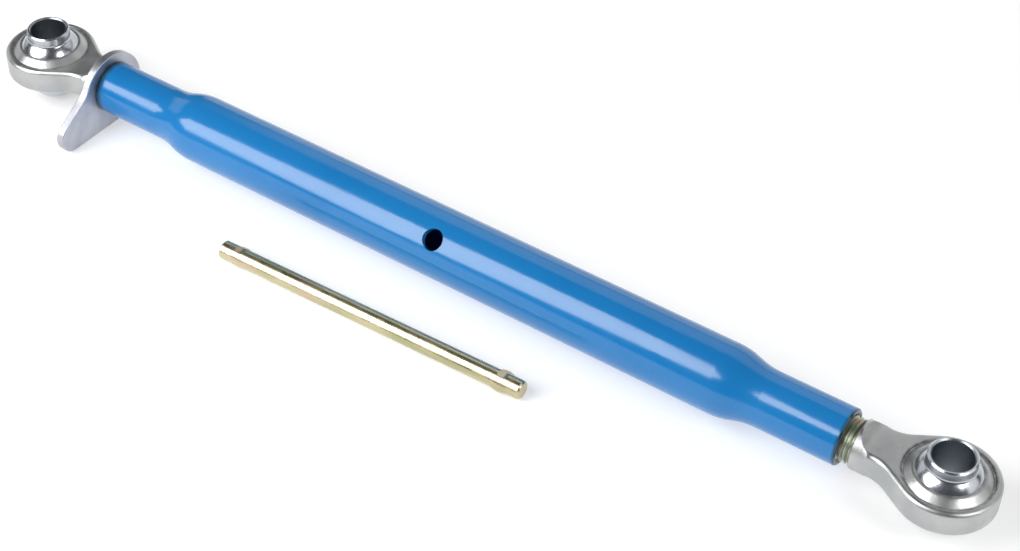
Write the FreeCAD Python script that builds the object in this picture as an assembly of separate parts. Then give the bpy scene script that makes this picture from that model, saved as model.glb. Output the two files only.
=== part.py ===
import FreeCAD, Part
import math
import os

# Category 2 tractor top link: a swaged turnbuckle tube, two forged ball ends on
# opposite-hand screws, a lock-nut lever and a loose tommy bar. Millimetres.
# +X runs along the link from the left ball to the right ball, +Z along the ball bores.
# The origin is the centre of the left ball.

os.makedirs("parts", exist_ok=True)

# overall
link_length = 720.0        # ball centre to ball centre, as stored (nearly closed)
left_shank = 55.0          # left ball centre to the face its lever closes on
right_shank = 57.0         # right ball centre to the end of its forging

# balls
ball_d = 48.0
ball_width = 51.0
pin_bore_d = 25.5
collar_d = 30.6
collar_fillet = 2.6
collar_edge = 0.9
bore_chamfer = 0.8
ball_clearance = 0.05      # radial, ball in its seat

# forged eyes
ring_d = 65.0
eye_thickness = 19.0       # ring flange and flat of the shank
lip_height = 12.8          # centre plane to the top of the crimped lip
lip_width = 1.8
lip_slope_d = 53.6         # foot of the lip's outer slope
groove_width = 1.5         # staking groove round the foot
groove_depth = 0.9
waist_start = 37.0         # ball centre to where a straight flank would meet the waist
waist_width = 30.4
shoulder_d = 33.0
shoulder_length = 1.2      # of the full round, before the flats run out in it
flat_runout = 14.0         # radius of that run-out
waist_end = 44.0           # ball centre to where the waist starts to widen again
waist_land = 0.7           # parallel waist between the two bends
flare_start = 7.5          # from the end of the forging
flare_radius = 15.0
eye_fillet = 3.4
shoulder_chamfer = 0.8

# screws
thread_d = 30.0
thread_pitch = 3.0
travel_turns = 43
engagement = 50.0          # thread still in the tube at full length
thread_clearance = 0.05    # radial, plain stand-in for the thread fit
stem_chamfer = 2.0

# lock-nut lever
lever_thickness = 6.0
lever_head_r = 28.0
lever_drop = 2.2           # head centre below the screw
lever_tip_r = 12.0
lever_reach = 55.5         # link axis to the far end of the tongue
lever_taper = 33.0         # upper edge of the tongue against its level lower edge
lever_blend = 20.0
lever_edge = 0.9
nut_chamfer = 1.2

# tube
tube_d = 48.3
tube_wall = 4.6
neck_d = 38.0
neck_length = 55.0
swage_length = 31.0
tube_end_chamfer = 0.9
mouth_chamfer = 1.4
cross_hole_d = 15.0
cross_hole_tilt = 46.0     # above the horizontal, on the -Y side

# tommy bar
bar_d = 13.0
bar_length = 240.0
bar_chamfer = 1.2
ear_from_end = 15.0
ear_length = 13.0
ear_height = 6.5
small_ear_width = 14.2
large_ear_width = 15.8
press_r = 9.0              # nose of the tool that squeezes the ears out
press_depth = 0.9
bar_centre_x = 342.0
bar_centre_y = -65.9
bar_yaw = 1.7

# worked out
ball_r = ball_d / 2
seat_r = ball_r + ball_clearance
ring_r = ring_d / 2
half_eye = eye_thickness / 2
waist = waist_width / 2
shoulder_r = shoulder_d / 2
blank_r = shoulder_r + 1.2  # stock the round shoulder is turned out of
stem_r = thread_d / 2
screw_bore_r = stem_r + thread_clearance
lever_x = left_shank
tube_x0 = lever_x + lever_thickness
right_gap = right_shank + 7.7
tube_x1 = link_length - right_gap
travel = travel_turns * thread_pitch
left_stem_length = lever_thickness + travel + engagement
right_stem_length = right_gap - right_shank + travel + engagement
floor_z = -(lever_head_r + lever_drop)

X = FreeCAD.Vector(1, 0, 0)
Y = FreeCAD.Vector(0, 1, 0)
Z = FreeCAD.Vector(0, 0, 1)


def v(x, y=0.0, z=0.0):
    return FreeCAD.Vector(x, y, z)


def line(a, b):
    return Part.LineSegment(a, b).toShape()


def arc(a, m, b):
    return Part.Arc(a, m, b).toShape()


def face_of(edges):
    return Part.Face(Part.Wire(Part.sortEdges(edges)[0]))


def full_turn(edges, axis):
    return face_of(edges).revolve(v(0), axis, 360)


def ease(x0, r0, x1, r1, place):
    """Two equal tangent arcs from (x0, r0) to (x1, r1), level at both ends."""
    dx = x1 - x0
    dr = r1 - r0
    radius = (dx * dx + dr * dr) / (4 * abs(dr))
    half = math.atan2(abs(dr), abs(dx))
    along = math.copysign(radius * math.sin(half), dx)
    up = math.copysign(radius * (1 - math.cos(half)), dr)
    xm = (x0 + x1) / 2
    rm = (r0 + r1) / 2
    first = arc(place(x0, r0), place(x0 + along, r0 + up), place(xm, rm))
    second = arc(place(xm, rm), place(x1 - along, r1 - up), place(x1, r1))
    return [first, second]


def edges_where(shape, test):
    return [e for e in shape.Edges if test(e)]


def on_side(x, r):
    return v(x, r, 0)


def make_ball():
    """Sphere with a plain collar at each end, bored through for the pin."""
    half = ball_width / 2
    bore_r = pin_bore_d / 2
    collar_r = collar_d / 2
    root = math.sqrt(ball_r ** 2 - collar_r ** 2)
    pts = []
    pts.append(v(bore_r + bore_chamfer, 0, half))
    pts.append(v(collar_r - collar_edge, 0, half))
    pts.append(v(collar_r, 0, half - collar_edge))
    pts.append(v(collar_r, 0, root))
    low = [v(p.x, 0, -p.z) for p in reversed(pts)]
    edges = [line(a, b) for a, b in zip(pts, pts[1:])]
    edges.append(arc(pts[-1], v(ball_r, 0, 0), low[0]))
    edges += [line(a, b) for a, b in zip(low, low[1:])]
    edges.append(line(low[-1], v(bore_r, 0, -half + bore_chamfer)))
    edges.append(line(v(bore_r, 0, -half + bore_chamfer), v(bore_r, 0, half - bore_chamfer)))
    edges.append(line(v(bore_r, 0, half - bore_chamfer), pts[0]))
    ball = full_turn(edges, Z)

    def at_root(e):
        c = e.BoundBox.Center
        ring = abs(e.BoundBox.XLength - collar_d) < 0.05
        return ring and abs(abs(c.z) - root) < 0.05

    return ball.makeFillet(collar_fillet, edges_where(ball, at_root))


def eye_plan(shank):
    """Plan outline of the forging: ring, straight flanks and a waisted shank."""
    leave = math.atan2(waist, waist_start) + math.acos(ring_r / math.hypot(waist_start, waist))
    a = math.pi / 2 - leave
    tx = ring_r * math.sin(a)
    ty = ring_r * math.cos(a)
    run = waist_end - waist_start - waist_land
    bend = run / math.tan(a / 2)
    p1 = v(waist_start - run * math.cos(a), waist + run * math.sin(a))
    p2 = v(waist_start + run, waist)
    mid = v(p2.x - bend * math.sin(a / 2), waist + bend * (1 - math.cos(a / 2)))
    upper = [line(v(tx, ty), p1), arc(p1, mid, p2), line(p2, v(waist_end, waist))]
    upper += ease(waist_end, waist, shank, blank_r, on_side)
    lower = [e.mirror(v(0), Y) for e in upper]
    cap = line(v(shank, blank_r), v(shank, -blank_r))
    ring = arc(v(tx, ty), v(-ring_r, 0), v(tx, -ty))
    return face_of(upper + lower + [cap, ring])


def eye_side(shank):
    """Side outline: the flats run out in the round shoulder on a concave arc."""
    rise = blank_r - half_eye
    x_out = shank - shoulder_length
    x_in = x_out - math.sqrt(rise * (2 * flat_runout - rise))
    half = math.acos(1 - rise / flat_runout) / 2
    xm = x_in + flat_runout * math.sin(half)
    zm = half_eye + flat_runout * (1 - math.cos(half))
    upper = [line(v(-ring_r - 5, 0, half_eye), v(x_in, 0, half_eye))]
    upper.append(arc(v(x_in, 0, half_eye), v(xm, 0, zm), v(x_out, 0, blank_r)))
    upper.append(line(v(x_out, 0, blank_r), v(shank, 0, blank_r)))
    lower = [e.mirror(v(0), Z) for e in upper]
    near = line(v(-ring_r - 5, 0, half_eye), v(-ring_r - 5, 0, -half_eye))
    far = line(v(shank, 0, blank_r), v(shank, 0, -blank_r))
    return face_of(upper + lower + [near, far])


def eye_flare(shank):
    """Round body that leaves the shoulder as a bar and flares out past the shank."""
    x0 = -ring_r - 5
    big = ring_r * 2
    xc = shank - flare_start
    q = flare_radius * math.sqrt(0.5)
    rc = shoulder_r + flare_radius
    edges = [line(v(x0, 0), v(x0, big)), line(v(x0, big), v(xc - flare_radius, big))]
    edges.append(line(v(xc - flare_radius, big), v(xc - flare_radius, rc)))
    edges.append(arc(v(xc - flare_radius, rc), v(xc - q, rc - q), v(xc, shoulder_r)))
    edges.append(line(v(xc, shoulder_r), v(shank - shoulder_chamfer, shoulder_r)))
    edges.append(line(v(shank - shoulder_chamfer, shoulder_r), v(shank, shoulder_r - shoulder_chamfer)))
    edges.append(line(v(shank, shoulder_r - shoulder_chamfer), v(shank, 0)))
    edges.append(line(v(shank, 0), v(x0, 0)))
    return full_turn(edges, X)


def eye_lip():
    """Crimped lip that holds the ball: a short land and an outer slope."""
    foot = lip_slope_d / 2
    lip_in = math.sqrt(seat_r ** 2 - lip_height ** 2)
    land = lip_in + lip_width
    under = half_eye - groove_depth
    half = [v(lip_in - 3, 0, 0), v(lip_in - 3, 0, lip_height), v(land - 0.5, 0, lip_height)]
    half.append(v(land + 0.3, 0, lip_height - 0.4))
    half.append(v(foot, 0, under))
    half.append(v(foot, 0, 0))
    edges = [line(a, b) for a, b in zip(half, half[1:] + half[:1])]
    upper = full_turn(edges, Z)
    return upper.fuse(upper.mirror(v(0), Z)).removeSplitter()


def eye_grooves():
    """Shallow staking groove round the foot of the lip, on both faces."""
    r0 = lip_slope_d / 2 - 1.2
    r1 = lip_slope_d / 2 + groove_width
    low = half_eye - groove_depth
    high = half_eye + 2
    pts = [v(r0, 0, low), v(r1 - 0.7, 0, low), v(r1 + 0.9, 0, high), v(r0, 0, high)]
    edges = [line(a, b) for a, b in zip(pts, pts[1:] + pts[:1])]
    upper = full_turn(edges, Z)
    return [upper, upper.mirror(v(0), Z)]


def make_eye(shank):
    tall = shoulder_r * 2 + 4
    plan = eye_plan(shank).translated(v(0, 0, -tall / 2)).extrude(v(0, 0, tall))
    side = eye_side(shank).translated(v(0, -ring_r - 2, 0)).extrude(v(0, 2 * ring_r + 4, 0))
    body = plan.common(side)

    def rim(e):
        b = e.BoundBox
        level = abs(abs(b.Center.z) - half_eye) < 0.01 and b.ZLength < 0.01
        across = b.XLength < 0.01
        return level and not across

    body = body.makeFillet(eye_fillet, edges_where(body, rim))
    body = body.common(eye_flare(shank))
    for groove in eye_grooves():
        body = body.cut(groove)
    body = body.fuse(eye_lip()).removeSplitter()
    seat = Part.makeSphere(seat_r)
    window = Part.makeCylinder(math.sqrt(seat_r ** 2 - lip_height ** 2), 4 * lip_height, v(0, 0, -2 * lip_height))
    return body.cut(seat.fuse(window))


def make_stem(shank, length):
    """Screwed bar at its major diameter, butted on the end of the forging."""
    edges = [line(v(shank, 0), v(shank, stem_r)), line(v(shank, stem_r), v(shank + length - stem_chamfer, stem_r))]
    edges.append(line(v(shank + length - stem_chamfer, stem_r), v(shank + length, stem_r - stem_chamfer)))
    edges.append(line(v(shank + length, stem_r - stem_chamfer), v(shank + length, 0)))
    edges.append(line(v(shank + length, 0), v(shank, 0)))
    return full_turn(edges, X)


def make_lever():
    """Flat lock nut with a tapering tongue, its lower edge level with the head."""
    def p(y, z):
        return v(lever_x, y, z)

    a = math.radians(lever_taper)
    tip_y = -(lever_reach - lever_tip_r)
    tip_z = floor_z + lever_tip_r
    head = Part.Face(Part.Wire(Part.makeCircle(lever_head_r, p(0, -lever_drop), X)))
    top = p(tip_y - lever_tip_r * math.sin(a), tip_z + lever_tip_r * math.cos(a))
    back = p(top.y + 60 * math.cos(a), top.z + 60 * math.sin(a))
    slant = arc(top, p(tip_y - lever_tip_r, tip_z), p(tip_y, tip_z - lever_tip_r))
    under = line(p(tip_y, floor_z), p(0, floor_z))
    inner = [line(top, back), line(back, p(back.y, 0)), line(p(back.y, 0), p(0, 0))]
    close = line(p(0, 0), p(0, floor_z))
    tongue = face_of([slant, under, close] + inner)
    plate = head.extrude(v(lever_thickness, 0, 0)).fuse(tongue.extrude(v(lever_thickness, 0, 0)))
    plate = plate.removeSplitter()

    def corner(e):
        b = e.BoundBox
        return abs(b.XLength - lever_thickness) < 0.01 and b.YMax < -lever_head_r / 2 and b.ZMin > 0 - lever_head_r / 2

    plate = plate.makeFillet(lever_blend, edges_where(plate, corner))
    outline = edges_where(plate, lambda e: e.BoundBox.XLength < 0.01)
    plate = plate.makeFillet(lever_edge, outline)
    bore = Part.makeCylinder(screw_bore_r, lever_thickness + 2, v(lever_x - 1, 0, 0), X)
    plate = plate.cut(bore)
    for x, way in ((lever_x, 1), (lever_x + lever_thickness, -1)):
        r = screw_bore_r + nut_chamfer
        cone = Part.makeCone(r, screw_bore_r - 0.3, nut_chamfer + 0.3, v(x, 0, 0), v(way, 0, 0))
        plate = plate.cut(cone)
    return plate


def make_tube():
    """Swaged tube, revolved, with the cross hole for the tommy bar."""
    r_in = tube_d / 2 - tube_wall
    neck_r = neck_d / 2
    a0 = tube_x0
    a1 = tube_x0 + neck_length
    a2 = a1 + swage_length
    b0 = tube_x1
    b1 = tube_x1 - neck_length
    b2 = b1 - swage_length
    c = tube_end_chamfer
    m = mouth_chamfer
    edges = [line(v(a0, screw_bore_r + m), v(a0, neck_r - c)), line(v(a0, neck_r - c), v(a0 + c, neck_r))]
    edges.append(line(v(a0 + c, neck_r), v(a1, neck_r)))
    edges += ease(a1, neck_r, a2, tube_d / 2, on_side)
    edges.append(line(v(a2, tube_d / 2), v(b2, tube_d / 2)))
    edges += ease(b2, tube_d / 2, b1, neck_r, on_side)
    edges.append(line(v(b1, neck_r), v(b0 - c, neck_r)))
    edges.append(line(v(b0 - c, neck_r), v(b0, neck_r - c)))
    edges.append(line(v(b0, neck_r - c), v(b0, screw_bore_r + m)))
    edges.append(line(v(b0, screw_bore_r + m), v(b0 - m, screw_bore_r)))
    edges.append(line(v(b0 - m, screw_bore_r), v(b1, screw_bore_r)))
    edges += ease(b1, screw_bore_r, b2, r_in, on_side)
    edges.append(line(v(b2, r_in), v(a2, r_in)))
    edges += ease(a2, r_in, a1, screw_bore_r, on_side)
    edges.append(line(v(a1, screw_bore_r), v(a0 + m, screw_bore_r)))
    edges.append(line(v(a0 + m, screw_bore_r), v(a0, screw_bore_r + m)))
    tube = full_turn(edges, X)
    t = math.radians(cross_hole_tilt)
    way = v(0, -math.cos(t), math.sin(t))
    mid = v((tube_x0 + tube_x1) / 2)
    hole = Part.makeCylinder(cross_hole_d / 2, tube_d + 10, mid - way * (tube_d / 2 + 5), way)
    return tube.cut(hole)


def make_ear(x, width):
    """Pressed ear: a short spindle kept only in a flat band across the bar."""
    h = ear_length / 2
    top = width / 2
    edges = [arc(v(x - h, bar_d / 2 - 0.4), v(x, top), v(x + h, bar_d / 2 - 0.4))]
    edges.append(line(v(x + h, bar_d / 2 - 0.4), v(x + h, 0)))
    edges.append(line(v(x + h, 0), v(x - h, 0)))
    edges.append(line(v(x - h, 0), v(x - h, bar_d / 2 - 0.4)))
    spindle = full_turn(edges, X)
    band = Part.makeBox(ear_length + 2, width + 2, ear_height, v(x - h - 1, -width / 2 - 1, -ear_height / 2))
    return spindle.common(band)


def make_bar():
    half = bar_length / 2
    r = bar_d / 2
    c = bar_chamfer
    edges = [line(v(-half, 0), v(-half, r - c)), line(v(-half, r - c), v(-half + c, r))]
    edges.append(line(v(-half + c, r), v(half - c, r)))
    edges.append(line(v(half - c, r), v(half, r - c)))
    edges.append(line(v(half, r - c), v(half, 0)))
    edges.append(line(v(half, 0), v(-half, 0)))
    bar = full_turn(edges, X)
    bar = bar.fuse(make_ear(-half + ear_from_end, small_ear_width))
    bar = bar.fuse(make_ear(half - ear_from_end, large_ear_width)).removeSplitter()
    for x in (-half + ear_from_end, half - ear_from_end):
        for z in (r + press_r - press_depth, -r - press_r + press_depth):
            bar = bar.cut(Part.makeCylinder(press_r, bar_d + 2, v(x, -r - 1, z), Y))
    bar.rotate(v(0), Z, bar_yaw)
    bar.translate(v(bar_centre_x, bar_centre_y, floor_z + r))
    return bar


def to_right(shape):
    """Turn a left-hand end round and set it at the right ball."""
    s = shape.copy()
    s.rotate(v(0), Z, 180)
    s.translate(v(link_length))
    return s


ball = make_ball()
nodes = {}
nodes["left_ball"] = ball
nodes["right_ball"] = to_right(ball)
nodes["left_eye"] = make_eye(left_shank)
nodes["right_eye"] = to_right(make_eye(right_shank))
nodes["left_stem"] = make_stem(left_shank, left_stem_length)
nodes["right_stem"] = to_right(make_stem(right_shank, right_stem_length))
nodes["lock_lever"] = make_lever()
nodes["tube"] = make_tube()
nodes["tommy_bar"] = make_bar()

for name, shape in nodes.items():
    solid = shape.Solids[0] if shape.ShapeType != "Solid" and len(shape.Solids) == 1 else shape
    solid.exportStep("parts/" + name + ".step")
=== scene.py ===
import math

import bpy
from mathutils import Matrix, Vector


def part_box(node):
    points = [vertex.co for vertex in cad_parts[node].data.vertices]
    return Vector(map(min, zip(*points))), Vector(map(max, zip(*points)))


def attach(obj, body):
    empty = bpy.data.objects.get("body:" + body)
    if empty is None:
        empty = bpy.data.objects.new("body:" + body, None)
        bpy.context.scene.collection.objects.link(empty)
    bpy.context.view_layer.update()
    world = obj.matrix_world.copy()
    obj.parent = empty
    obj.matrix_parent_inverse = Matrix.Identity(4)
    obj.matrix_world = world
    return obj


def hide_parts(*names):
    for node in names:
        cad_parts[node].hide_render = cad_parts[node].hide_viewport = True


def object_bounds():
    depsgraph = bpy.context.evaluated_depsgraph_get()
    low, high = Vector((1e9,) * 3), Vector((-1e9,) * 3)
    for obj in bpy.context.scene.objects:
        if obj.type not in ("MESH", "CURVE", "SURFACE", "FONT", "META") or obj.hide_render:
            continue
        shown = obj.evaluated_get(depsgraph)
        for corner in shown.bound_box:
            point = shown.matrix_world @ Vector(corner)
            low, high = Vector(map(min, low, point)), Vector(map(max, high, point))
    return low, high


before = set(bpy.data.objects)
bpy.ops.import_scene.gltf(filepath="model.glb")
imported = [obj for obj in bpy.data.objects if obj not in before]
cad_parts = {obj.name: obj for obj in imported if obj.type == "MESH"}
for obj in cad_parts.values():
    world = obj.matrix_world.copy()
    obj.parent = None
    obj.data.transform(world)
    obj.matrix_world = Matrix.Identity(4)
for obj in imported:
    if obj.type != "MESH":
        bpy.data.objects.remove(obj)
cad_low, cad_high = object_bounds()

# Looks of a category 2 tractor top link. Metres; +X along the link from the lever
# end, +Z up along the pin bores, -Y towards the lever's tongue and the loose bar.

MM = 0.001

left_ball_low, left_ball_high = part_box("left_ball")
right_ball_low, right_ball_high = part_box("right_ball")
left_centre = (left_ball_low + left_ball_high) / 2
right_centre = (right_ball_low + right_ball_high) / 2
tube_low, tube_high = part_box("tube")
bar_low, bar_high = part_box("tommy_bar")

# M30 x 3 thread, as cut
thread_pitch = 3 * MM
thread_crest_r = 14.95 * MM
thread_root_r = 13.2 * MM
thread_steps = 56          # facets round one turn
lead_in = 2.2 * MM         # taper at the free end of a screw


# --- modelling helpers ---------------------------------------------------------

def pick(obj, test, kind="VERT"):
    """Select in edit mode, by place, what the next operator is to work on."""
    bpy.ops.object.mode_set(mode="EDIT")
    bpy.ops.mesh.select_mode(type=kind)
    bpy.ops.mesh.select_all(action="DESELECT")
    bpy.ops.object.mode_set(mode="OBJECT")
    for item in (obj.data.vertices if kind == "VERT" else obj.data.polygons):
        item.select = test(item)
    bpy.ops.object.mode_set(mode="EDIT")


def finish_mesh(obj, angle):
    """Weld, point the faces outwards and shade by angle."""
    bpy.ops.object.mode_set(mode="EDIT")
    bpy.ops.mesh.select_all(action="SELECT")
    bpy.ops.mesh.remove_doubles(threshold=0.00001)
    bpy.ops.mesh.normals_make_consistent(inside=False)
    bpy.ops.object.mode_set(mode="OBJECT")
    bpy.ops.object.shade_smooth_by_angle(angle=math.radians(angle))


def cut_screw(name, node, root_x, free_x, right_hand):
    """One threaded bar: a thread profile screwed along the axis, cut off square and tapered."""
    bpy.ops.object.select_all(action="DESELECT")
    along = 1 if right_hand else -1
    low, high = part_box(node)
    start = (low.x if right_hand else high.x) - along * thread_pitch
    bpy.ops.mesh.primitive_plane_add(size=thread_pitch, location=(start + along * thread_pitch / 2, 0, thread_root_r))
    screw = bpy.context.object
    screw.name = name
    bpy.ops.object.transform_apply(location=True, rotation=True, scale=True)
    # one edge of the plane becomes one pitch of the profile
    pick(screw, lambda v: v.co.y < 0)
    bpy.ops.mesh.delete(type="VERT")
    bpy.ops.mesh.select_all(action="SELECT")
    bpy.ops.transform.translate(value=(0, -thread_pitch / 2, 0))
    bpy.ops.mesh.subdivide(number_cuts=11)
    crest = (7 / 12, 8 / 12)

    def share(v):
        return (v.co.x - start) * along / thread_pitch

    pick(screw, lambda v: crest[0] - 0.02 < share(v) < crest[1] + 0.02)
    bpy.ops.transform.translate(value=(0, 0, thread_crest_r - thread_root_r))
    keep = (0, 3 / 12, crest[0], crest[1], 1)
    pick(screw, lambda v: min(abs(share(v) - k) for k in keep) > 0.02)
    bpy.ops.mesh.dissolve_verts()
    bpy.ops.object.mode_set(mode="OBJECT")
    turns = math.ceil((high.x - low.x) / thread_pitch) + 2
    twist = screw.modifiers.new("thread", "SCREW")
    twist.axis = "X"
    twist.screw_offset = along * thread_pitch
    twist.angle = math.tau
    twist.steps = thread_steps
    twist.render_steps = thread_steps
    twist.iterations = turns
    bpy.ops.object.modifier_apply(modifier="thread")
    bpy.ops.object.mode_set(mode="EDIT")
    bpy.ops.mesh.select_all(action="SELECT")
    bpy.ops.mesh.remove_doubles(threshold=0.00001)
    for x, way in ((low.x, -1), (high.x, 1)):
        bpy.ops.mesh.select_all(action="SELECT")
        bpy.ops.mesh.bisect(plane_co=(x, 0, 0), plane_no=(way, 0, 0), use_fill=True, clear_outer=True)
    bpy.ops.object.mode_set(mode="OBJECT")
    free = high.x if right_hand else low.x
    for step in (1.0, 0.66, 0.33):
        pick(screw, lambda v: abs(v.co.x - free) < lead_in * step)
        bpy.ops.transform.resize(value=(1, 0.955, 0.955), center_override=(free, 0, 0))
    bpy.ops.object.mode_set(mode="OBJECT")
    finish_mesh(screw, 35)
    return screw


# --- material helpers ----------------------------------------------------------

def node(tree, kind, inputs=None, **settings):
    made = tree.nodes.new(kind)
    for key, value in settings.items():
        setattr(made, key, value)
    for key, value in (inputs or {}).items():
        if isinstance(value, bpy.types.NodeSocket):
            tree.links.new(value, made.inputs[key])
        else:
            made.inputs[key].default_value = value
    return made


def sum_of(tree, operation, a, b, clamp=False):
    return node(tree, "ShaderNodeMath", {0: a, 1: b}, operation=operation, use_clamp=clamp).outputs[0]


def band(tree, value, low, high, to_low=0.0, to_high=1.0):
    """A soft step: value from low to high becomes to_low to to_high."""
    made = node(tree, "ShaderNodeMapRange", {"Value": value, "From Min": low, "From Max": high,
                "To Min": to_low, "To Max": to_high}, interpolation_type="SMOOTHSTEP")
    return made.outputs["Result"]


def new_group(name, inputs, outputs):
    group = bpy.data.node_groups.new(name, "ShaderNodeTree")
    for label, kind in inputs:
        group.interface.new_socket(name=label, in_out="INPUT", socket_type=kind)
    for label, kind in outputs:
        group.interface.new_socket(name=label, in_out="OUTPUT", socket_type=kind)
    return group, node(group, "NodeGroupInput").outputs, node(group, "NodeGroupOutput")


def two_tone_group():
    """Two colours that drift into each other, as plating or paint does."""
    group, given, out = new_group("two_tone", [("Vector", "NodeSocketVector"), ("Scale", "NodeSocketFloat"),
                                  ("First", "NodeSocketColor"), ("Second", "NodeSocketColor")],
                                  [("Color", "NodeSocketColor"), ("Mask", "NodeSocketFloat")])
    drift = node(group, "ShaderNodeTexNoise", {"Vector": given["Vector"], "Scale": given["Scale"], "Detail": 4.0,
                 "Roughness": 0.55, "Distortion": 0.4})
    mask = band(group, drift.outputs["Fac"], 0.38, 0.62)
    mixed = node(group, "ShaderNodeMix", {"Factor": mask}, data_type="RGBA")
    group.links.new(given["First"], mixed.inputs[6])
    group.links.new(given["Second"], mixed.inputs[7])
    group.links.new(mixed.outputs[2], out.inputs["Color"])
    group.links.new(mask, out.inputs["Mask"])
    return group


def grain_group():
    """Surface height: a broad unevenness with a fine grain on top."""
    group, given, out = new_group("grain", [("Vector", "NodeSocketVector"), ("Broad Scale", "NodeSocketFloat"),
                                  ("Fine Scale", "NodeSocketFloat"), ("Fine Share", "NodeSocketFloat")],
                                  [("Height", "NodeSocketFloat")])
    broad = node(group, "ShaderNodeTexNoise", {"Vector": given["Vector"], "Scale": given["Broad Scale"], "Detail": 2.0})
    fine = node(group, "ShaderNodeTexNoise", {"Vector": given["Vector"], "Scale": given["Fine Scale"], "Detail": 3.0})
    scaled = sum_of(group, "MULTIPLY", fine.outputs["Fac"], given["Fine Share"])
    group.links.new(sum_of(group, "ADD", broad.outputs["Fac"], scaled), out.inputs["Height"])
    return group


def handling_group():
    """Roughness that changes a little where a surface has been handled, plus hairline scratches."""
    group, given, out = new_group("handling", [("Vector", "NodeSocketVector"), ("Scale", "NodeSocketFloat"),
                                  ("Smooth", "NodeSocketFloat"), ("Rough", "NodeSocketFloat")],
                                  [("Roughness", "NodeSocketFloat"), ("Scratches", "NodeSocketFloat")])
    patchy_noise = node(group, "ShaderNodeTexNoise", {"Vector": given["Vector"], "Scale": given["Scale"], "Detail": 5.0,
                 "Roughness": 0.6, "Distortion": 1.2})
    level = band(group, patchy_noise.outputs["Fac"], 0.3, 0.7)
    span = sum_of(group, "SUBTRACT", given["Rough"], given["Smooth"])
    rough = sum_of(group, "ADD", given["Smooth"], sum_of(group, "MULTIPLY", level, span))
    stretched = node(group, "ShaderNodeMapping", {"Vector": given["Vector"], "Scale": (22, 300, 300),
                     "Rotation": (0.2, 0.35, 0.5)})
    hair = node(group, "ShaderNodeTexNoise", {"Vector": stretched.outputs["Vector"], "Scale": 3.0, "Detail": 1.0})
    scratch = band(group, hair.outputs["Fac"], 0.66, 0.70)
    group.links.new(rough, out.inputs["Roughness"])
    group.links.new(scratch, out.inputs["Scratches"])
    return group


def from_axis_group():
    """Distance from the local Z axis, and from the local X axis."""
    group, given, out = new_group("from_axis", [("Vector", "NodeSocketVector")],
                                  [("From Z", "NodeSocketFloat"), ("From X", "NodeSocketFloat")])
    xyz = node(group, "ShaderNodeSeparateXYZ", {"Vector": given["Vector"]}).outputs

    def length(a, b):
        pair = node(group, "ShaderNodeCombineXYZ", {"X": a, "Y": b})
        return node(group, "ShaderNodeVectorMath", {0: pair.outputs[0]}, operation="LENGTH").outputs["Value"]

    group.links.new(length(xyz["X"], xyz["Y"]), out.inputs["From Z"])
    group.links.new(length(xyz["Y"], xyz["Z"]), out.inputs["From X"])
    return group


groups = {"two_tone": two_tone_group(), "grain": grain_group(), "handling": handling_group(),
          "from_axis": from_axis_group()}


def effect(tree, name, inputs):
    return node(tree, "ShaderNodeGroup", inputs, node_tree=groups[name]).outputs


def blank_material(name, **settings):
    """A material with its Principled shader; the keyword values are set on the shader's own sockets."""
    made = bpy.data.materials.new(name)
    made.use_nodes = True
    tree = made.node_tree
    shader = tree.nodes["Principled BSDF"]
    for key, value in settings.items():
        shader.inputs[key.replace("_", " ")].default_value = value
    return made, tree, shader


def place_of(tree, centre=(0, 0, 0)):
    """Object coordinates measured from a centre."""
    coordinate = node(tree, "ShaderNodeTexCoord")
    moved = node(tree, "ShaderNodeMapping", {"Vector": coordinate.outputs["Object"], "Location": tuple(-c for c in centre)})
    return moved.outputs["Vector"]


def bump_into(tree, shader, height, strength, distance):
    made = node(tree, "ShaderNodeBump", {"Height": height, "Strength": strength, "Distance": distance})
    tree.links.new(made.outputs["Normal"], shader.inputs["Normal"])


def mix_colour(tree, mask, first, second):
    made = node(tree, "ShaderNodeMix", {"Factor": mask}, data_type="RGBA")
    for index, value in ((6, first), (7, second)):
        if isinstance(value, bpy.types.NodeSocket):
            tree.links.new(value, made.inputs[index])
        else:
            made.inputs[index].default_value = (*value, 1)
    return made.outputs[2]


def mix_value(tree, mask, first, second):
    made = node(tree, "ShaderNodeMix", {"Factor": mask, 2: first, 3: second}, data_type="FLOAT")
    return made.outputs[0]


# --- materials -----------------------------------------------------------------

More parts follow.
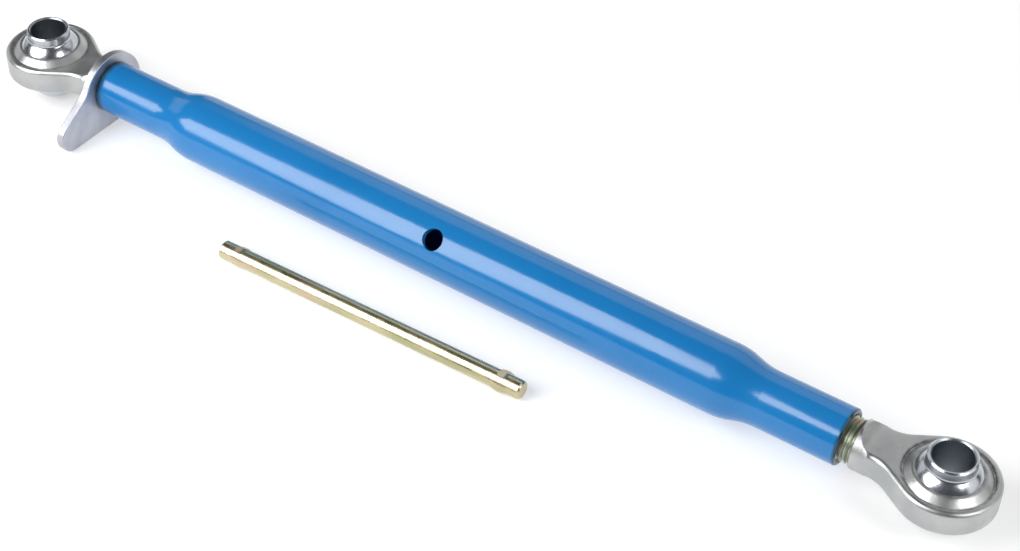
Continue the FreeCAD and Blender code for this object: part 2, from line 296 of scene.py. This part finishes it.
def blue_enamel():
    """Gloss blue enamel over steel; the screwed bores are bare, and painted shade darkens the paint near both mouths.
    """
    made, tree, shader = blank_material("blue_enamel", IOR=1.55)
    place = place_of(tree)
    axis = effect(tree, "from_axis", {"Vector": place})
    tone = effect(tree, "two_tone", {"Vector": place, "Scale": 9.0, "First": (0.008, 0.175, 0.465, 1),
                  "Second": (0.012, 0.192, 0.495, 1)})
    use = effect(tree, "handling", {"Vector": place, "Scale": 14.0, "Smooth": 0.13, "Rough": 0.19})
    bore = band(tree, axis["From X"], 16.3 * MM, 15.9 * MM)
    # painted shade: the paint is darkened near both mouths, in the lever's shadow at the left end and on the right end
    # face, broken up by noise
    x = node(tree, "ShaderNodeSeparateXYZ", {"Vector": place}).outputs["X"]
    left_mouth = band(tree, x, tube_low.x + 6.5 * MM, tube_low.x + 1.0 * MM)
    right_mouth = band(tree, x, tube_high.x - 2.6 * MM, tube_high.x - 0.3 * MM)
    patchy_noise = node(tree, "ShaderNodeTexNoise", {"Vector": place, "Scale": 130.0, "Detail": 3.0}).outputs["Fac"]
    mouth_painted_shade = sum_of(tree, "MULTIPLY", sum_of(tree, "MAXIMUM", left_mouth, right_mouth), band(tree, patchy_noise, 0.1, 0.5, 0.75, 0.95))
    # painted shade colour: a near-black blue laid over the paint tone at the mouths
    dark = mix_colour(tree, mouth_painted_shade, tone["Color"], (0.004, 0.045, 0.085))
    tree.links.new(mix_colour(tree, bore, dark, (0.30, 0.30, 0.31)), shader.inputs["Base Color"])
    tree.links.new(bore, shader.inputs["Metallic"])
    tree.links.new(mix_value(tree, bore, use["Roughness"], 0.42), shader.inputs["Roughness"])
    peel = effect(tree, "grain", {"Vector": place, "Broad Scale": 60.0, "Fine Scale": 420.0, "Fine Share": 0.22})
    bump_into(tree, shader, peel["Height"], 0.12, 0.35 * MM)
    return made


def zinc_forging(name, centre):
    """Clear zinc on a forged eye: scale pits under the plating, painted shade in the staking groove and round the ball
    seat, bright rims.
    """
    made, tree, shader = blank_material(name, Metallic=1.0)
    place = place_of(tree, centre)
    axis = effect(tree, "from_axis", {"Vector": place})
    tone = effect(tree, "two_tone", {"Vector": place, "Scale": 38.0, "First": (0.44, 0.45, 0.455, 1),
                  "Second": (0.53, 0.535, 0.53, 1)})
    # painted shade: the staking groove ring and the rim round the ball seat are darkened, broken up by noise
    groove = sum_of(tree, "MULTIPLY", band(tree, axis["From Z"], 26.2 * MM, 26.9 * MM),
                    band(tree, axis["From Z"], 29.4 * MM, 28.2 * MM))
    seat = band(tree, axis["From Z"], 22.4 * MM, 21.4 * MM)
    speckle_noise = node(tree, "ShaderNodeTexNoise", {"Vector": place, "Scale": 220.0, "Detail": 4.0}).outputs["Fac"]
    groove_and_seat_painted_shade = sum_of(tree, "MULTIPLY", sum_of(tree, "MAXIMUM", sum_of(tree, "MULTIPLY", groove, 0.55),
                   sum_of(tree, "MULTIPLY", seat, 0.35)), band(tree, speckle_noise, 0.25, 0.65), clamp=True)
    tree.links.new(mix_colour(tree, groove_and_seat_painted_shade, tone["Color"], (0.10, 0.10, 0.10)), shader.inputs["Base Color"])
    use = effect(tree, "handling", {"Vector": place, "Scale": 55.0, "Smooth": 0.30, "Rough": 0.44})
    tree.links.new(mix_value(tree, groove_and_seat_painted_shade, use["Roughness"], 0.7), shader.inputs["Roughness"])
    scale = effect(tree, "grain", {"Vector": place, "Broad Scale": 170.0, "Fine Scale": 900.0, "Fine Share": 0.30})
    bump_into(tree, shader, scale["Height"], 0.40, 0.45 * MM)
    return made


def polished_ball(name, centre):
    """Turned and polished ball, with faint tool rings round its bore axis and painted shade darkening its bore."""
    made, tree, shader = blank_material(name, Metallic=1.0)
    place = place_of(tree, centre)
    axis = effect(tree, "from_axis", {"Vector": place})
    tone = effect(tree, "two_tone", {"Vector": place, "Scale": 30.0, "First": (0.50, 0.53, 0.57, 1),
                  "Second": (0.58, 0.60, 0.63, 1)})
    # painted shade: the bore is given a darker colour than the ball
    bore = band(tree, axis["From Z"], 13.9 * MM, 13.2 * MM)
    tree.links.new(mix_colour(tree, bore, tone["Color"], (0.30, 0.33, 0.36)), shader.inputs["Base Color"])
    use = effect(tree, "handling", {"Vector": place, "Scale": 70.0, "Smooth": 0.20, "Rough": 0.27})
    tree.links.new(mix_value(tree, bore, use["Roughness"], 0.34), shader.inputs["Roughness"])
    rings = node(tree, "ShaderNodeTexWave", {"Vector": place, "Scale": 520.0, "Distortion": 0.6, "Detail": 1.0},
                 wave_type="BANDS", bands_direction="Z")
    bump_into(tree, shader, rings.outputs["Fac"], 0.10, 0.04 * MM)
    return made


def yellow_zinc(name, straw, olive, smooth, rough, grain_scale):
    """Yellow chromate: straw drifting to olive with a rosy bloom."""
    made, tree, shader = blank_material(name, Metallic=1.0)
    place = place_of(tree)
    drawn = node(tree, "ShaderNodeMapping", {"Vector": place, "Scale": (0.25, 1, 1)}).outputs["Vector"]
    tone = effect(tree, "two_tone", {"Vector": drawn, "Scale": 70.0, "First": (*straw, 1), "Second": (*olive, 1)})
    bloom = node(tree, "ShaderNodeTexNoise", {"Vector": drawn, "Scale": 46.0, "Detail": 3.0, "Distortion": 1.5})
    rosy = sum_of(tree, "MULTIPLY", band(tree, bloom.outputs["Fac"], 0.52, 0.72), 0.55)
    colour = mix_colour(tree, rosy, tone["Color"], (0.60, 0.42, 0.34))
    tree.links.new(colour, shader.inputs["Base Color"])
    use = effect(tree, "handling", {"Vector": place, "Scale": 60.0, "Smooth": smooth, "Rough": rough})
    tree.links.new(use["Roughness"], shader.inputs["Roughness"])
    skin = effect(tree, "grain", {"Vector": drawn, "Broad Scale": grain_scale, "Fine Scale": 1400.0, "Fine Share": 0.35})
    bump_into(tree, shader, skin["Height"], 0.25, 0.20 * MM)
    return made


def zinc_plate():
    """Clear zinc on a flat-rolled lever, with cut lines down its sawn edge."""
    made, tree, shader = blank_material("zinc_plate", Metallic=1.0)
    place = place_of(tree)
    tone = effect(tree, "two_tone", {"Vector": place, "Scale": 45.0, "First": (0.46, 0.47, 0.52, 1),
                  "Second": (0.54, 0.55, 0.59, 1)})
    tree.links.new(tone["Color"], shader.inputs["Base Color"])
    use = effect(tree, "handling", {"Vector": place, "Scale": 50.0, "Smooth": 0.34, "Rough": 0.48})
    tree.links.new(use["Roughness"], shader.inputs["Roughness"])
    facing = node(tree, "ShaderNodeSeparateXYZ", {"Vector": node(tree, "ShaderNodeNewGeometry").outputs["Normal"]})
    flat = band(tree, node(tree, "ShaderNodeMath", {0: facing.outputs["X"]}, operation="ABSOLUTE").outputs[0], 0.5, 0.8)
    squeezed = node(tree, "ShaderNodeMapping", {"Vector": place, "Scale": (0.05, 1, 1)}).outputs["Vector"]
    lines = node(tree, "ShaderNodeTexNoise", {"Vector": squeezed, "Scale": 900.0, "Detail": 1.0}).outputs["Fac"]
    skin = effect(tree, "grain", {"Vector": place, "Broad Scale": 150.0, "Fine Scale": 1100.0, "Fine Share": 0.3})
    bump_into(tree, shader, mix_value(tree, flat, lines, skin["Height"]), 0.30, 0.25 * MM)
    return made


def pale_floor():
    """Pale paper with a painted pool of light: it glows round the object and fades away from it."""
    made, tree, shader = blank_material("pale_floor", Roughness=0.9, Base_Color=(0.66, 0.66, 0.66, 1), Emission_Strength=1.0)
    away = effect(tree, "from_axis", {"Vector": place_of(tree)})["From Z"]
    # painted light: emission strength falling off with distance from the middle of the object
    painted_glow = band(tree, away, 0.55, 1.3, 0.45, 0.08)
    tree.links.new(node(tree, "ShaderNodeCombineColor", {0: painted_glow, 1: painted_glow, 2: painted_glow}).outputs[0], shader.inputs["Emission Color"])
    return made


def coat(obj, material):
    """Put one material on every slot of a piece."""
    if not obj.material_slots:
        obj.data.materials.append(material)
    for slot in obj.material_slots:
        slot.material = material


# --- pieces --------------------------------------------------------------------

left_thread = cut_screw("left_thread", "left_stem", 0, 0, True)
right_thread = cut_screw("right_thread", "right_stem", 0, 0, False)
for piece, stem, body in ((left_thread, "left_stem", "left_end"), (right_thread, "right_stem", "right_end")):
    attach(piece, body)
    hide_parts(stem)

threads = yellow_zinc("yellow_zinc_thread", (0.44, 0.47, 0.39), (0.33, 0.37, 0.28), 0.30, 0.44, 240.0)
drawn_bar = yellow_zinc("yellow_zinc_bar", (0.66, 0.58, 0.38), (0.46, 0.45, 0.27), 0.24, 0.36, 120.0)
finishes = {
    left_thread: threads,
    right_thread: threads,
    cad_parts["tube"]: blue_enamel(),
    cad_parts["left_eye"]: zinc_forging("left_zinc_forging", left_centre),
    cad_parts["right_eye"]: zinc_forging("right_zinc_forging", right_centre),
    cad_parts["left_ball"]: polished_ball("left_polished_ball", left_centre),
    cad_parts["right_ball"]: polished_ball("right_polished_ball", right_centre),
    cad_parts["lock_lever"]: zinc_plate(),
    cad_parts["tommy_bar"]: drawn_bar,
}
for piece, material in finishes.items():
    coat(piece, material)


# --- floor, light and camera ----------------------------------------------------

bpy.ops.object.select_all(action="DESELECT")
bpy.ops.mesh.primitive_plane_add(size=14, location=(0.36, 0.05, cad_low.z))
floor = bpy.context.object
floor.name = "floor"
coat(floor, pale_floor())


def softbox(name, place, target, width, height, radiance, roll=0.0):
    """A rectangular area light, aimed, with its power worked out from its brightness."""
    light = bpy.data.lights.new(name, "AREA")
    light.shape = "RECTANGLE"
    light.size = width
    light.size_y = height
    light.energy = radiance * math.pi * width * height
    lamp = bpy.data.objects.new(name, light)
    bpy.context.scene.collection.objects.link(lamp)
    away = Vector(place) - Vector(target)
    lamp.location = place
    aim = away.to_track_quat("Z", "Y").to_matrix() @ Matrix.Rotation(math.radians(roll), 3, "Z")
    lamp.rotation_euler = aim.to_euler()
    return lamp


middle = Vector((0.36, 0, 0))
softbox("key_softbox", (-0.39, -1.17, 1.09), middle, 1.15, 1.5, 6.3, roll=-30)
softbox("right_softbox", (2.1, -0.24, 1.36), middle, 0.75, 0.75, 8.0)
softbox("right_wall", (2.6, 0.6, 0.7), middle, 1.6, 1.2, 1.0)
softbox("left_wall", (-1.9, 0.3, 0.7), middle, 1.6, 1.2, 0.8)
softbox("back_wall_low", (0.4, 2.2, 0.42), middle, 4.0, 0.8, 1.0)
softbox("back_wall_high", (0.4, 2.0, 1.9), middle, 4.0, 1.8, 0.75)

world = bpy.data.worlds.new("studio_air")
bpy.context.scene.world = world
world.use_nodes = True
world.node_tree.nodes["Background"].inputs["Color"].default_value = (0.88, 0.94, 1.0, 1)
world.node_tree.nodes["Background"].inputs["Strength"].default_value = 0.08

camera_data = bpy.data.cameras.new("camera")
camera_data.lens = 69.7
camera_data.sensor_width = 36.0
camera_data.clip_start = 0.01
camera_data.clip_end = 60
camera = bpy.data.objects.new("camera", camera_data)
bpy.context.scene.collection.objects.link(camera)
yaw, pitch, roll = -0.5776, 0.7341, 0.0348
forward = Vector((math.sin(yaw) * math.cos(pitch), math.cos(yaw) * math.cos(pitch), -math.sin(pitch)))
level = Vector((math.cos(yaw), -math.sin(yaw), 0))
upward = level.cross(forward)
right = math.cos(roll) * level + math.sin(roll) * upward
top = -math.sin(roll) * level + math.cos(roll) * upward
turn = Matrix((right, top, -forward)).transposed().to_4x4()
camera.matrix_world = Matrix.Translation((0.93084, -0.80129, 0.86339)) @ turn
bpy.context.scene.camera = camera
bpy.context.scene.view_settings.view_transform = "Standard"
